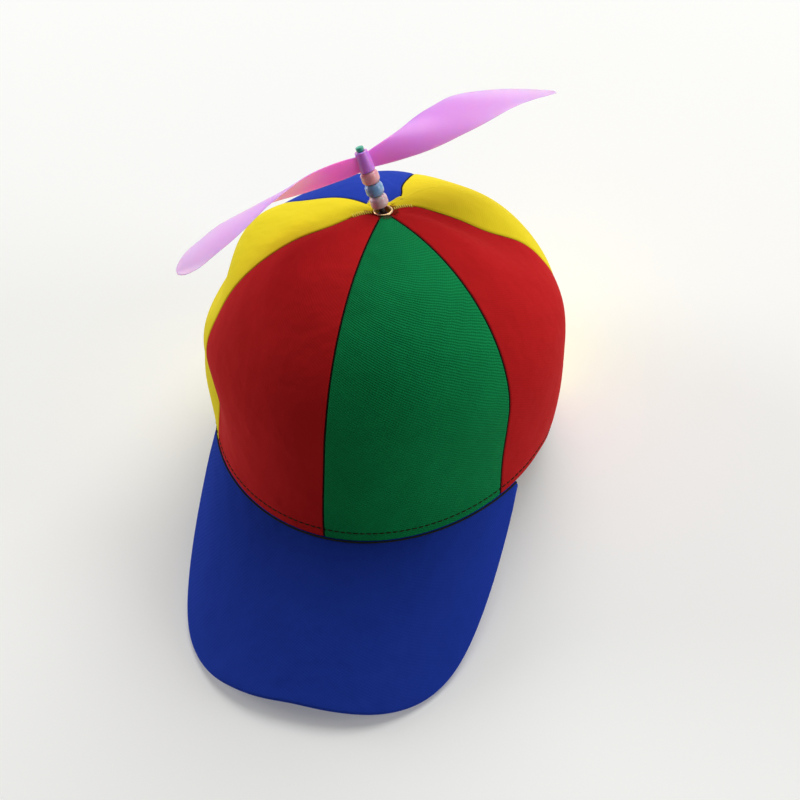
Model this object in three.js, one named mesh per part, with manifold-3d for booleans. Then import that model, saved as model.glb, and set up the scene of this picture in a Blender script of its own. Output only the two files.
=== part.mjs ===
// A six-panel cloth cap with a curved brim and a two-bladed propeller on a leaning beaded stick.
// Millimetres, +Z up. The cap rests by itself: the brim's low sides and the back of the rim touch
// the ground, so the crown leans forward. The brim points along -Y and the wearer's left is +X.
import * as THREE from 'three';
import { mergeVertices } from 'three/addons/utils/BufferGeometryUtils.js';
import Module from 'manifold-3d';

// Crown
const crownHalfWidth = 89.5;
const crownFront = 90.5;
const crownBack = 96.5;
const crownHeight = 113.3;
const widestHeight = 43.5;
const rimTuck = 3;
const frontDrop = 11.5;
const peakBack = 14;
const frontFullness = 2.34;
const sideFullness = 2.1;
const topFullness = 1.94;
const panelPuff = 2;
const clothWall = 1.6;

// Gaps between pieces that touch: across a seam, and wherever one piece sits on another
const seamGap = 0.3;
const seatGap = 0.3;

// Brim
const brimHalfWidth = 79.5;
const brimLength = 61.5;
const brimSlope = 39;
const brimHalfAngle = 67;
const brimWall = 3;
const brimTipWidth = 2;
const brimSideCurve = 0.64;
const brimFrontCurve = 0.69;

// Arch behind and the strap that crosses it
const archHalfWidth = 38;
const archHeight = 38;
const strapHeight = 20;
const strapRise = 2.5;
const strapLap = 11;
const strapWall = 1.6;

// Eyelet
const eyeletHole = 3.5;
const eyeletWall = 0.4;
const eyeletRadius = 4.9;
const eyeletFlange = 0.6;

// Stick, beads and propeller
const stickTilt = 20.7;
const stickHeading = -106.5;
const stickRadius = 1.5;
const stickFootRadius = 4;
const stickHeadRadius = 1.95;
const stickHeadHeight = 2;
const beadRadius = 4.5;
const beadEndRadius = 3.2;
const beadLength = 6.1;
const turningClearance = 0.2;
const hubLength = 10.2;
const hubTopRadius = 3.2;
const hubFootRadius = 3.8;
const propellerRadius = 104;
const bladeWidth = 36;
const bladeWall = 1.4;
const bladeCamber = 1.6;
const bladeMiddle = 0.45;
const bladeTipLength = 12.5;
const lowBladeSag = 3.3;
const propellerTurn = 41.5;

// How finely the curved pieces are faceted
const panelRows = 20;
const panelColumns = 12;
const brimColumns = 40;
const brimRows = 8;
const bladeRows = 22;
const bladeSides = 12;
const roundSides = 16;

// The crown is followed by two numbers: turn, the angle from the front towards +X, and fall,
// which is 0 at the top, widestFall where the crown is widest and 1 at the rim.
const widestFall = 0.75;

// Dents (depth above 0) and bulges (below 0) in the slack cloth. turn and turnSpread are degrees,
// fall and fallSpread are shares of the way down, and depth is a share of crownHalfWidth. From
// hemTaut to the rim the hem pulls the cloth taut again.
const dents = [
  { turn: 106, fall: 0.16, turnSpread: 15, fallSpread: 0.09, depth: 0.028 },
  { turn: 106, fall: 0.29, turnSpread: 17, fallSpread: 0.11, depth: 0.05 },
  { turn: 118, fall: 0.44, turnSpread: 10, fallSpread: 0.07, depth: -0.01 },
  { turn: 103, fall: 0.6, turnSpread: 10, fallSpread: 0.12, depth: -0.016 },
  { turn: -58, fall: 0.86, turnSpread: 13, fallSpread: 0.09, depth: 0.045 },
  { turn: -78, fall: 0.84, turnSpread: 12, fallSpread: 0.12, depth: -0.02 },
  { turn: -63, fall: 0.68, turnSpread: 13, fallSpread: 0.09, depth: -0.015 },
  { turn: -84, fall: 0.57, turnSpread: 14, fallSpread: 0.07, depth: 0.055 },
  { turn: -102, fall: 0.42, turnSpread: 18, fallSpread: 0.1, depth: -0.045 },
  { turn: -172, fall: 0.3, turnSpread: 20, fallSpread: 0.13, depth: -0.015 },
  { turn: 165, fall: 0.36, turnSpread: 14, fallSpread: 0.1, depth: 0.012 },
  { turn: -82, fall: 0.9, turnSpread: 14, fallSpread: 0.09, depth: -0.03 },
  { turn: 98, fall: 0.86, turnSpread: 20, fallSpread: 0.12, depth: -0.013 },
  { turn: 118, fall: 0.58, turnSpread: 14, fallSpread: 0.12, depth: -0.012 },
];
const hemTaut = 0.95;

// Where a seam wanders out of its upright plane: seam and drift are degrees, the rest as above
const seamDrifts = [
  { seam: 0, fall: 1, fallSpread: 0.2, drift: -2 },
  { seam: 60, fall: 0.88, fallSpread: 0.12, drift: -2 },
  { seam: 120, fall: 0.28, fallSpread: 0.13, drift: -5.5 },
  { seam: 120, fall: 0.5, fallSpread: 0.12, drift: -4.5 },
  { seam: 180, fall: 0.07, fallSpread: 0.045, drift: -12 },
  { seam: 180, fall: 0.42, fallSpread: 0.16, drift: 4 },
  { seam: 240, fall: 0.25, fallSpread: 0.12, drift: 6 },
  { seam: 240, fall: 0.4, fallSpread: 0.1, drift: 4 },
  { seam: 300, fall: 0.5, fallSpread: 0.2, drift: -2 },
];

// Where the brim's free edge is bent out (or in, below 0) of its even curve. side runs from -1 to 1
// between the brim's ends, and out is a share of brimLength.
const brimBends = [
  { side: -0.62, spread: 0.17, out: 0.03 },
  { side: -0.02, spread: 0.12, out: 0.025 },
  { side: 0.3, spread: 0.14, out: -0.01 },
  { side: 0.68, spread: 0.17, out: 0.035 },
];

// One blade from the hub outwards. along and bow are shares of propellerRadius, width and sweep
// are shares of bladeWidth, and twist is in degrees from the plane of turning.
const bladeSections = [
  { along: 0.025, width: 0.22, twist: 86, bow: 0, sweep: 0 },
  { along: 0.2, width: 0.41, twist: 52, bow: 0.008, sweep: -0.08 },
  { along: 0.4, width: 0.77, twist: 24, bow: 0.021, sweep: -0.07 },
  { along: 0.55, width: 0.98, twist: 14, bow: 0.025, sweep: -0.05 },
  { along: 0.7, width: 1, twist: 5, bow: 0.009, sweep: -0.02 },
  { along: 0.85, width: 0.82, twist: 0, bow: -0.032, sweep: 0.03 },
  { along: 0.95, width: 0.66, twist: -5, bow: -0.07, sweep: 0.04 },
  { along: 1, width: 0.58, twist: -8, bow: -0.09, sweep: 0.04 },
];

// The second blade has been pressed down: lowBladeSag at this place, less within the spread of it
const lowBladeBend = { along: 0.7, spread: 0.28 };

// Where each panel starts and its colour. Left and right are as seen from in front of the cap.
const panels = [
  { name: 'panel_front_right', start: 0, colour: 0x0b582f },
  { name: 'panel_side_right', start: 60, colour: 0xa81c1e },
  { name: 'panel_back_right', start: 120, colour: 0xe0cc3a },
  { name: 'panel_back_left', start: 180, colour: 0x1a2c72 },
  { name: 'panel_side_left', start: 240, colour: 0xe0cc3a },
  { name: 'panel_front_left', start: 300, colour: 0xa81c1e },
];
const panelSpan = 60;

const degree = Math.PI / 180;
const brimSlopeTan = Math.tan(brimSlope * degree);
const backRim = crownBack - rimTuck;
const holeRadius = eyeletHole + eyeletWall + seatGap;

const wasm = await Module();
wasm.setup();

function smoothstep(low, high, value) {
  return THREE.MathUtils.smoothstep(value, low, high);
}

// A turn brought into the range from -180 to 180 degrees, in radians
function wrapped(turn) {
  return THREE.MathUtils.euclideanModulo(turn + Math.PI, 2 * Math.PI) - Math.PI;
}

// Plan radius of the crown at its widest: an ellipse that is deeper behind than in front
function reachAt(turn) {
  const depth = Math.cos(turn) > 0 ? crownFront : crownBack;
  return 1 / Math.hypot(Math.sin(turn) / crownHalfWidth, Math.cos(turn) / depth);
}

// Exponent of the superellipse that rounds the crown from top to widest, fuller in front
function fullnessAt(turn) {
  return sideFullness + (frontFullness - sideFullness) * Math.max(0, Math.cos(turn)) ** 2;
}

// Height of the rim: dipped in front to meet the brim, and laid on the ground behind
function rimHeight(turn, radius, lean) {
  const dip = -frontDrop * Math.max(0, Math.cos(turn)) ** 2;
  const ground = -(backRim + radius * Math.cos(turn)) * Math.tan(lean);
  const laid = smoothstep(80 * degree, 135 * degree, Math.abs(wrapped(turn)));
  return THREE.MathUtils.lerp(dip, ground, laid);
}

// The crown's taut surface, before the cloth puffs or sags
function tautPoint(turn, fall, lean) {
  const reach = reachAt(turn);
  const swing = Math.min(fall / widestFall, 1) * Math.PI / 2;
  const skirt = Math.max(0, (fall - widestFall) / (1 - widestFall));
  const radius = reach * Math.sin(swing) ** (2 / fullnessAt(turn)) - rimTuck * skirt ** 2;
  const dome = (crownHeight - widestHeight) * Math.max(0, Math.cos(swing)) ** (2 / topFullness);
  const drop = (widestHeight - rimHeight(turn, reach - rimTuck, lean)) * skirt;
  return new THREE.Vector3(
    radius * Math.sin(turn),
    -radius * Math.cos(turn) + peakBack * (1 - fall ** 2),
    widestHeight + dome - drop,
  );
}

function tautNormal(turn, fall, lean) {
  const step = 1e-3;
  const across = tautPoint(turn + step, fall, lean).sub(tautPoint(turn - step, fall, lean));
  const low = tautPoint(turn, Math.max(fall - step, step), lean);
  const down = tautPoint(turn, Math.min(fall + step, 1), lean).sub(low);
  return down.cross(across).normalize();
}

// The turn at which a seam lies at a fall
function seamTurn(seam, fall) {
  const own = seamDrifts.filter((row) => row.seam === seam % 360);
  return own.reduce((turn, row) => (
    turn + row.drift * degree * Math.exp(-(((fall - row.fall) / row.fallSpread) ** 2))
  ), seam * degree);
}

// How far the cloth stands off the taut surface: each panel puffs between its seams (share runs
// from 0 to 1 across it), and the dents and bulges are added. Both die out at the rim.
function clothLift(turn, fall, share) {
  let lift = panelPuff * Math.sin(Math.PI * share) * Math.max(0, Math.sin(Math.PI * fall ** 0.9)) ** 0.8;
  for (const dent of dents) {
    const aside = wrapped(turn - dent.turn * degree) / (dent.turnSpread * degree);
    const below = (fall - dent.fall) / dent.fallSpread;
    const depth = dent.depth * crownHalfWidth * (1 - smoothstep(hemTaut, 1, fall));
    lift -= depth * Math.exp(-(aside ** 2) - below ** 2);
  }
  return lift;
}

// A point of the crown's cloth, inset below its outer face
function clothPoint(turn, fall, share, inset, lean) {
  const normal = tautNormal(turn, fall, lean);
  return tautPoint(turn, fall, lean).addScaledVector(normal, clothLift(turn, fall, share) - inset);
}

// The sloping, arched surface that the brim follows, seen from above
function brimRoof(x, y) {
  const front = tautPoint(0, 1, 0);
  const end = tautPoint(brimHalfAngle * degree, 1, 0);
  const sag = (front.z - brimSlopeTan * (front.y - end.y) - end.z) * (brimHalfWidth / end.x) ** 2;
  return front.z - brimSlopeTan * (front.y - y) - sag * (x / brimHalfWidth) ** 2;
}

// The rim's outer and inner edge. In front the inner edge rises with the brim's slope, so that the
// rim sits flat on the brim.
function rimPoint(turn, inset, lean) {
  const outer = tautPoint(turn, 1, lean);
  const radius = reachAt(turn) - rimTuck - inset;
  const point = new THREE.Vector3(radius * Math.sin(turn), -radius * Math.cos(turn), 0);
  const overBrim = 1 - smoothstep(brimHalfAngle * degree, (brimHalfAngle + 10) * degree,
    Math.abs(wrapped(turn)));
  const rise = brimRoof(point.x, point.y) - brimRoof(outer.x, outer.y);
  point.z = rimHeight(turn, radius, lean) + rise * overBrim;
  return point;
}

// A point of the brim's upper face: side runs from -1 to 1 between its ends, out from 0 at the
// crown to 1 at the free edge
function brimPoint(side, out) {
  const turn = side * brimHalfAngle * degree;
  const root = rimPoint(turn, 0, 0);
  const end = rimPoint(brimHalfAngle * degree, 0, 0);
  const swing = side * Math.PI / 2;
  const tip = brimTipWidth * side ** 6;
  const reach = brimLength + end.y + crownFront - rimTuck;
  const x = Math.sign(swing) * brimHalfWidth * Math.abs(Math.sin(swing)) ** brimSideCurve;
  const bend = brimBends.reduce((total, row) => (
    total + row.out * brimLength * Math.exp(-(((side - row.side) / row.spread) ** 2))
  ), 0);
  const y = end.y - reach * Math.max(0, Math.cos(swing)) ** brimFrontCurve - bend;
  const edge = new THREE.Vector2(x + tip * Math.sin(turn), y - tip * Math.cos(turn));
  const plan = new THREE.Vector2(root.x, root.y).lerp(edge, out);
  const settle = (root.z - brimRoof(root.x, root.y)) * (1 - out);
  return new THREE.Vector3(plan.x, plan.y, brimRoof(plan.x, plan.y) + settle - seatGap);
}

function brimNormal(side, out) {
  const step = 2e-3;
  const left = Math.max(side - step, -1);
  const right = Math.min(side + step, 1);
  const near = Math.max(out - step, 0);
  const far = Math.min(out + step, 1);
  const across = brimPoint(right, out).sub(brimPoint(left, out));
  const outward = brimPoint(side, far).sub(brimPoint(side, near));
  return outward.cross(across).normalize();
}

// Sides are spread so that the columns stand about evenly along the brim's free edge
function brimSideAt(share) {
  return Math.sign(share) * Math.abs(share) ** (1 / brimSideCurve);
}

// The brim's two faces as rows of points. The first row tucks in under the rim.
function brimFaces() {
  const upper = [];
  const lower = [];
  for (let row = -1; row <= brimRows; row += 1) {
    upper.push([]);
    lower.push([]);
    for (let column = 0; column <= brimColumns; column += 1) {
      const side = brimSideAt(2 * column / brimColumns - 1);
      const out = Math.max(0, row) / brimRows;
      const tucked = rimPoint(side * brimHalfAngle * degree, clothWall, 0);
      tucked.z -= seatGap;
      const point = row < 0 ? tucked : brimPoint(side, out);
      upper.at(-1).push(point);
      lower.at(-1).push(point.clone().addScaledVector(brimNormal(side, out), -brimWall));
    }
  }
  return { upper, lower };
}

// The cap tips forward about the back of its rim until the brim's low sides touch the ground
function restingLean(lowerFace) {
  const slopes = lowerFace.flat().map((point) => Math.atan2(-point.z, backRim - point.y));
  return Math.max(...slopes);
}

const brimShape = brimFaces();
const lean = restingLean(brimShape.lower);

// Turns a geometry into one closed body: shared corners merged, flat slivers dropped, faces out
function closedBody(geometry) {
  geometry.deleteAttribute('normal');
  geometry.deleteAttribute('uv');
  const merged = mergeVertices(geometry, 1e-4);
  const place = merged.getAttribute('position');
  const corner = (index) => new THREE.Vector3().fromBufferAttribute(place, index);
  const kept = [];
  let volume = 0;
  for (let start = 0; start < merged.index.count; start += 3) {
    const [a, b, c] = [0, 1, 2].map((step) => merged.index.getX(start + step));
    if (a !== b && b !== c && c !== a) {
      kept.push([a, b, c]);
      volume += corner(a).dot(corner(b).cross(corner(c)));
    }
  }
  const facingOut = kept.map(([a, b, c]) => (volume > 0 ? [a, b, c] : [a, c, b]));
  merged.setIndex(facingOut.flat());
  return merged;
}

// A closed wall between two faces given as equal grids of points
function wallBetween(outer, inner) {
  const rows = outer.length;
  const columns = outer[0].length;
  const points = [...outer.flat(), ...inner.flat()];
  const at = (face, row, column) => face * rows * columns + row * columns + column;
  const faces = [];
  const quad = (a, b, c, d) => faces.push(a, b, c, a, c, d);
  for (let row = 0; row + 1 < rows; row += 1) {
    for (let column = 0; column + 1 < columns; column += 1) {
      quad(at(0, row, column), at(0, row + 1, column), at(0, row + 1, column + 1), at(0, row, column + 1));
      quad(at(1, row, column), at(1, row, column + 1), at(1, row + 1, column + 1), at(1, row + 1, column));
    }
  }
  const last = columns - 1;
  for (let row = 0; row + 1 < rows; row += 1) {
    quad(at(0, row, 0), at(1, row, 0), at(1, row + 1, 0), at(0, row + 1, 0));
    quad(at(0, row, last), at(0, row + 1, last), at(1, row + 1, last), at(1, row, last));
  }
  for (let column = 0; column + 1 < columns; column += 1) {
    quad(at(0, 0, column), at(0, 0, column + 1), at(1, 0, column + 1), at(1, 0, column));
    quad(at(0, rows - 1, column), at(1, rows - 1, column), at(1, rows - 1, column + 1),
      at(0, rows - 1, column + 1));
  }
  const geometry = new THREE.BufferGeometry();
  geometry.setAttribute('position', new THREE.Float32BufferAttribute(
    points.flatMap((point) => point.toArray()), 3));
  geometry.setIndex(faces);
  return closedBody(geometry);
}

// A turned body about Z from a profile of [radius, height] pairs
function turned(profile) {
  const points = profile.map(([radius, height]) => new THREE.Vector2(radius, height));
  return closedBody(new THREE.LatheGeometry(points, roundSides).rotateX(Math.PI / 2));
}

function asSolid(geometry) {
  return new wasm.Manifold(new wasm.Mesh({
    numProp: 3,
    vertProperties: new Float32Array(geometry.getAttribute('position').array),
    triVerts: new Uint32Array(geometry.index.array),
  }));
}

function fromSolid(solid) {
  const mesh = solid.getMesh();
  const geometry = new THREE.BufferGeometry();
  geometry.setAttribute('position', new THREE.BufferAttribute(mesh.vertProperties, 3));
  geometry.setIndex(new THREE.BufferAttribute(mesh.triVerts, 1));
  return geometry;
}

function named(name, geometry, colour, roughness, metalness = 0) {
  const mesh = new THREE.Mesh(geometry,
    new THREE.MeshStandardMaterial({ color: colour, roughness, metalness }));
  mesh.name = name;
  return mesh;
}

// Half the angle that the arch takes, seen from the crown's axis
function archHalfTurn() {
  return Math.asin(archHalfWidth / backRim);
}

// How far down the cloth goes at a turn: to the rim, or to the arch's round edge behind
function lowestFall(turn) {
  const aside = (Math.PI - Math.abs(wrapped(turn))) / archHalfTurn();
  if (aside >= 1) {
    return 1;
  }
  return 1 - (1 - widestFall) * archHeight * Math.sqrt(1 - aside ** 2) / widestHeight;
}

// Shares of a panel's width at which its columns stand, closer along the arch's round edge
function columnShares(start) {
  const even = (first, last, count) => Array.from({ length: count },
    (_, step) => first + (last - first) * step / count);
  const arch = archHalfTurn() / (panelSpan * degree);
  const archColumns = panelColumns / 2;
  const curved = even(0, 1, archColumns).map((share) => arch * Math.sin(share * Math.PI / 2));
  const behind = [...curved, ...even(arch, 1, panelColumns - archColumns), 1];
  if (start === 180) {
    return behind;
  }
  if (start === 120) {
    return behind.map((share) => 1 - share).reverse();
  }
  return [...even(0, 1, panelColumns), 1];
}

// One crown panel, kept clear of its neighbours by half the seam gap on each side
function panelGeometry(start) {
  const shares = columnShares(start);
  const faces = [0, clothWall].map((inset) => Array.from({ length: panelRows + 1 }, (_, row) => (
    shares.map((share) => {
      const upright = (start + panelSpan * share) * degree;
      const top = fallAtRadius(upright, holeRadius);
      const bottom = lowestFall(upright);
      const fall = top + (bottom - top) * row / panelRows;
      const { x, y } = tautPoint(upright, fall, lean);
      const radius = Math.hypot(x, y - peakBack * (1 - fall ** 2));
      const room = Math.asin(seamGap / 2 / Math.max(radius, holeRadius));
      const first = seamTurn(start, fall) + room;
      const turn = first + (seamTurn(start + panelSpan, fall) - room - first) * share;
      const atRim = row === panelRows && bottom === 1;
      return atRim ? rimPoint(turn, inset, lean) : clothPoint(turn, fall, share, inset, lean);
    })
  )));
  return wallBetween(faces[0], faces[1]);
}

// The strap lies inside the rim across the arch, and its ends lap inside the back panels
function strapGeometry() {
  const half = archHalfTurn() + strapLap / backRim;
  const columns = 2 * panelColumns;
  const rows = 3;
  const skirt = (height) => 1 - (1 - widestFall) * height / widestHeight;
  const faces = [0, strapWall].map((inset) => Array.from({ length: rows + 1 }, (_, row) => (
    Array.from({ length: columns + 1 }, (__, column) => {
      const turn = Math.PI + half * (2 * column / columns - 1);
      const fall = skirt(strapRise + strapHeight * (1 - row / rows));
      const normal = tautNormal(turn, fall, lean);
      const share = (turn / degree / panelSpan) % 1;
      const depth = clothWall + seatGap + inset - clothLift(turn, fall, share);
      return tautPoint(turn, fall, lean).addScaledVector(normal, -depth);
    })
  )));
  return wallBetween(faces[0], faces[1]);
}

// The fall at which the cloth is a given distance from the top's middle
function fallAtRadius(turn, radius) {
  const swing = Math.asin((radius / reachAt(turn)) ** (fullnessAt(turn) / 2));
  return widestFall * swing / (Math.PI / 2);
}

// Highest outer and lowest inner cloth between the hole and the flanges' edge
function clothAtEyelet() {
  const turns = Array.from({ length: 72 }, (_, step) => step * 5 * degree);
  const heights = (inset) => turns.flatMap((turn) => [holeRadius, eyeletRadius].map((radius) => (
    clothPoint(turn, fallAtRadius(turn, radius), 0.5, inset, lean).z)));
  const seams = panels.map(({ start }) => (
    clothPoint(start * degree, fallAtRadius(start * degree, eyeletRadius), 0, clothWall, lean).z));
  return { top: Math.max(...heights(0)), bottom: Math.min(...heights(clothWall), ...seams) };
}

const eyeletCloth = clothAtEyelet();
const eyeletTop = eyeletCloth.top + seatGap + eyeletFlange;
const eyeletBottom = eyeletCloth.bottom - seatGap - eyeletFlange;

// The brass eyelet: a barrel through the hole with a flange rolled over above and below
function eyeletGeometry() {
  const outer = eyeletHole + eyeletWall;
  const edge = eyeletFlange / 4;
  return turned([
    [eyeletHole + edge, eyeletBottom],
    [eyeletRadius - edge, eyeletBottom],
    [eyeletRadius, eyeletBottom + edge],
    [eyeletRadius, eyeletBottom + eyeletFlange],
    [outer, eyeletBottom + eyeletFlange],
    [outer, eyeletTop - eyeletFlange],
    [eyeletRadius, eyeletTop - eyeletFlange],
    [eyeletRadius, eyeletTop - edge * 2],
    [eyeletRadius - edge * 3, eyeletTop],
    [eyeletHole + edge * 2, eyeletTop],
    [eyeletHole, eyeletTop - edge * 2],
    [eyeletHole, eyeletBottom + edge],
    [eyeletHole + edge, eyeletBottom],
  ]);
}

// Distances along the stick, from the middle of the eyelet
const eyeletMiddle = (eyeletTop + eyeletBottom) / 2;
const tiltSine = Math.sin(stickTilt * degree);
const tiltCosine = Math.cos(stickTilt * degree);
const firstBead = (eyeletTop - eyeletMiddle + seatGap + beadEndRadius * tiltSine) / tiltCosine;
const beadPitch = beadLength + seatGap;
const hubStart = firstBead + 3 * beadPitch;
const headStart = hubStart + hubLength + seatGap;
const footCentre = -(eyeletMiddle - eyeletBottom + stickFootRadius + seatGap) / tiltCosine;

// The stick: a round foot inside the cap, a thin rod and a wider head above the hub
function stickGeometry() {
  const footSteps = 7;
  const neck = Math.asin(stickRadius / stickFootRadius);
  const foot = Array.from({ length: footSteps + 1 }, (_, step) => {
    const angle = Math.PI - (Math.PI - neck) * step / footSteps;
    return [stickFootRadius * Math.sin(angle), footCentre + stickFootRadius * Math.cos(angle)];
  });
  foot[0][0] = 0;
  const bevel = stickHeadRadius / 5;
  return turned([
    ...foot,
    [stickRadius, headStart],
    [stickHeadRadius, headStart],
    [stickHeadRadius, headStart + stickHeadHeight - bevel],
    [stickHeadRadius - bevel, headStart + stickHeadHeight],
    [0, headStart + stickHeadHeight],
  ]);
}

// A barrel bead with its bore, standing on z = 0
function beadGeometry() {
  const bore = stickRadius + turningClearance;
  const steps = 6;
  const barrel = Array.from({ length: steps + 1 }, (_, step) => {
    const height = beadLength * step / steps;
    const bulge = 1 - (2 * step / steps - 1) ** 4;
    return [beadEndRadius + (beadRadius - beadEndRadius) * bulge, height];
  });
  return turned([[bore, 0], ...barrel, [bore, beadLength], [bore, 0]]);
}

// Section values at a place along the blade, eased between the table's rows
function bladeSectionAt(along) {
  const columns = ['width', 'twist', 'bow', 'sweep'];
  const places = bladeSections.map((section) => section.along);
  const values = bladeSections.flatMap((section) => columns.map((column) => section[column]));
  const eased = new THREE.CubicInterpolant(places, values, columns.length).evaluate(along);
  return Object.fromEntries(columns.map((column, index) => [column, eased[index]]));
}

// One blade along +X with the hub's axis along Z: lens-shaped sections, cambered, twisted and bowed.
// lowest is how far its bend is pressed down.
function bladeGeometry(lowest) {
  const [first] = bladeSections;
  const rings = Array.from({ length: bladeRows + 1 }, (_, row) => {
    const share = Math.sin(row / bladeRows * Math.PI / 2) ** 1.2;
    const along = first.along + (1 - first.along) * share;
    const { width, twist, bow, sweep } = bladeSectionAt(along);
    const toTip = Math.max(0, 1 - (1 - along) * propellerRadius / bladeTipLength);
    const sag = lowest * Math.exp(-(((along - lowBladeBend.along) / lowBladeBend.spread) ** 2));
    const half = Math.max(bladeWidth * width * Math.sqrt(1 - toTip ** 2), bladeWall) / 2;
    return Array.from({ length: bladeSides }, (__, side) => {
      const angle = 2 * Math.PI * side / bladeSides;
      const chord = half * Math.cos(angle);
      const hollow = bladeCamber * (half / bladeWidth * 2) * (1 - Math.cos(angle) ** 2);
      const lift = bladeWall / 2 * Math.sin(angle) + hollow;
      const turn = twist * degree;
      return new THREE.Vector3(
        along * propellerRadius,
        sweep * bladeWidth + chord * Math.cos(turn) - lift * Math.sin(turn),
        bow * propellerRadius - sag + chord * Math.sin(turn) + lift * Math.cos(turn),
      );
    });
  });
  const points = rings.flat();
  const faces = [];
  for (let row = 0; row < bladeRows; row += 1) {
    for (let side = 0; side < bladeSides; side += 1) {
      const [a, b] = [row * bladeSides + side, row * bladeSides + (side + 1) % bladeSides];
      faces.push(a, b, b + bladeSides, a, b + bladeSides, a + bladeSides);
    }
  }
  for (let side = 1; side + 1 < bladeSides; side += 1) {
    const end = bladeRows * bladeSides;
    faces.push(0, side + 1, side, end, end + side, end + side + 1);
  }
  const geometry = new THREE.BufferGeometry();
  geometry.setAttribute('position', new THREE.Float32BufferAttribute(
    points.flatMap((point) => point.toArray()), 3));
  geometry.setIndex(faces);
  return closedBody(geometry);
}

// Hub tube and two blades moulded as one, standing on z = 0, then bored for the stick
function propellerGeometry() {
  const bore = stickRadius + turningClearance;
  const hub = asSolid(turned([
    [0, 0], [hubFootRadius, 0], [hubTopRadius, hubLength], [0, hubLength],
  ]));
  const bored = asSolid(turned([
    [0, -hubLength], [bore, -hubLength], [bore, 2 * hubLength], [0, 2 * hubLength],
  ]));
  const blades = [0, lowBladeSag].map((lowest, index) => asSolid(
    bladeGeometry(lowest).translate(0, 0, hubLength * bladeMiddle).rotateZ(index * Math.PI)));
  return fromSolid(hub.add(blades[0]).add(blades[1]).subtract(bored));
}

// The stick with its beads and propeller, leaning in the eyelet
function stickAssembly() {
  const stick = new THREE.Group();
  stick.position.set(0, peakBack, eyeletMiddle);
  const heading = stickHeading * degree;
  stick.quaternion.setFromUnitVectors(new THREE.Vector3(0, 0, 1), new THREE.Vector3(
    tiltSine * Math.sin(heading), -tiltSine * Math.cos(heading), tiltCosine));
  stick.add(named('shaft', stickGeometry(), 0x3fae92, 0.4));
  const beads = [['bead_lower', 0xe6b9c0], ['bead_middle', 0x6fa3cf], ['bead_upper', 0xe97f7f]];
  beads.forEach(([name, colour], index) => {
    const bead = named(name, beadGeometry(), colour, 0.3);
    bead.position.z = firstBead + index * beadPitch;
    stick.add(bead);
  });
  const propeller = named('propeller', propellerGeometry(), 0xc77fcf, 0.3);
  propeller.position.z = hubStart;
  propeller.rotation.z = propellerTurn * degree;
  stick.add(propeller);
  return stick;
}

// The whole cap in its own upright frame, then tipped forward onto its brim
function capAssembly() {
  const cap = new THREE.Group();
  panels.forEach(({ name, start, colour }) => cap.add(named(name, panelGeometry(start), colour, 0.9)));
  cap.add(named('brim', wallBetween(brimShape.upper, brimShape.lower), 0x1a2c72, 0.9));
  cap.add(named('back_strap', strapGeometry(), 0x1a2c72, 0.9));
  const eyelet = named('grommet', eyeletGeometry(), 0xb08a4a, 0.35, 1);
  eyelet.position.y = peakBack;
  cap.add(eyelet);
  cap.add(stickAssembly());
  cap.rotation.x = -lean;
  cap.position.y = backRim * (1 - Math.cos(lean));
  cap.position.z = backRim * Math.sin(lean);
  return cap;
}

// The origin is on the ground, below the middle of the whole object's box
const propellerCap = new THREE.Group();
propellerCap.add(capAssembly());
propellerCap.updateMatrixWorld(true);
const box = new THREE.Box3().setFromObject(propellerCap, true);
const middle = box.getCenter(new THREE.Vector3());
propellerCap.position.set(-middle.x, -middle.y, -box.min.z);

export default propellerCap;
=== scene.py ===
import math

import bpy
import numpy as np
from mathutils import Matrix, Vector


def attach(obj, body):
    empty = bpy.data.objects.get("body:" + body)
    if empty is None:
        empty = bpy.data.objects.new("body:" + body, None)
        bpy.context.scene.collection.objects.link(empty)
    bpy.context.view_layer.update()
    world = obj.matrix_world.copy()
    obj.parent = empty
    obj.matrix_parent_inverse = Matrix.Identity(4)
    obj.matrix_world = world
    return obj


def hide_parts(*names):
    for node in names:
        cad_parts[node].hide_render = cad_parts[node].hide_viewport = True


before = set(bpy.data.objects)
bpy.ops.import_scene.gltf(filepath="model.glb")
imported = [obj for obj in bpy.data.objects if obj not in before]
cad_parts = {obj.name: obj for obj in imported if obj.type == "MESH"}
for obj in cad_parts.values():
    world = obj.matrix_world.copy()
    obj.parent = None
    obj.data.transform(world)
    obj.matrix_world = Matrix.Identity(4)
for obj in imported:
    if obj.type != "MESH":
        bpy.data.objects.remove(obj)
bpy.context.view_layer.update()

# Crown panels: six gores of cotton twill in four colours, cut to meet at the peak. Each seam is
# sewn from inside and opened flat, so outside it shows as a narrow valley between two rolled
# edges. The lower edge is turned under, and behind it is cut away in a round arch.
crown_half_width = 89.5
crown_front = 90.5
crown_back = 96.5
crown_height = 113.3
widest_height = 43.5
rim_tuck = 3
front_drop = 11.5
peak_back = 14
front_fullness = 2.34
side_fullness = 2.1
top_fullness = 1.94
panel_puff = 2
cloth_wall = 1.6
widest_fall = 0.75
back_rim = crown_back - rim_tuck
cap_lean = math.radians(16.9173)
cap_shift = (0.6646, 12.6714)
seam_roll = 1.2
seam_room = 0.05
hem_roll = cloth_wall / 2
hem_stitch_height = 4
hem_groove = 0.35
hem_groove_spread = 0.8
arch_half_width = 38
arch_height = 38
arch_half_turn = math.asin(arch_half_width / back_rim)
hole_radius = 4.2
hem_taut = 0.95
panel_span = math.radians(60)

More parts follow.
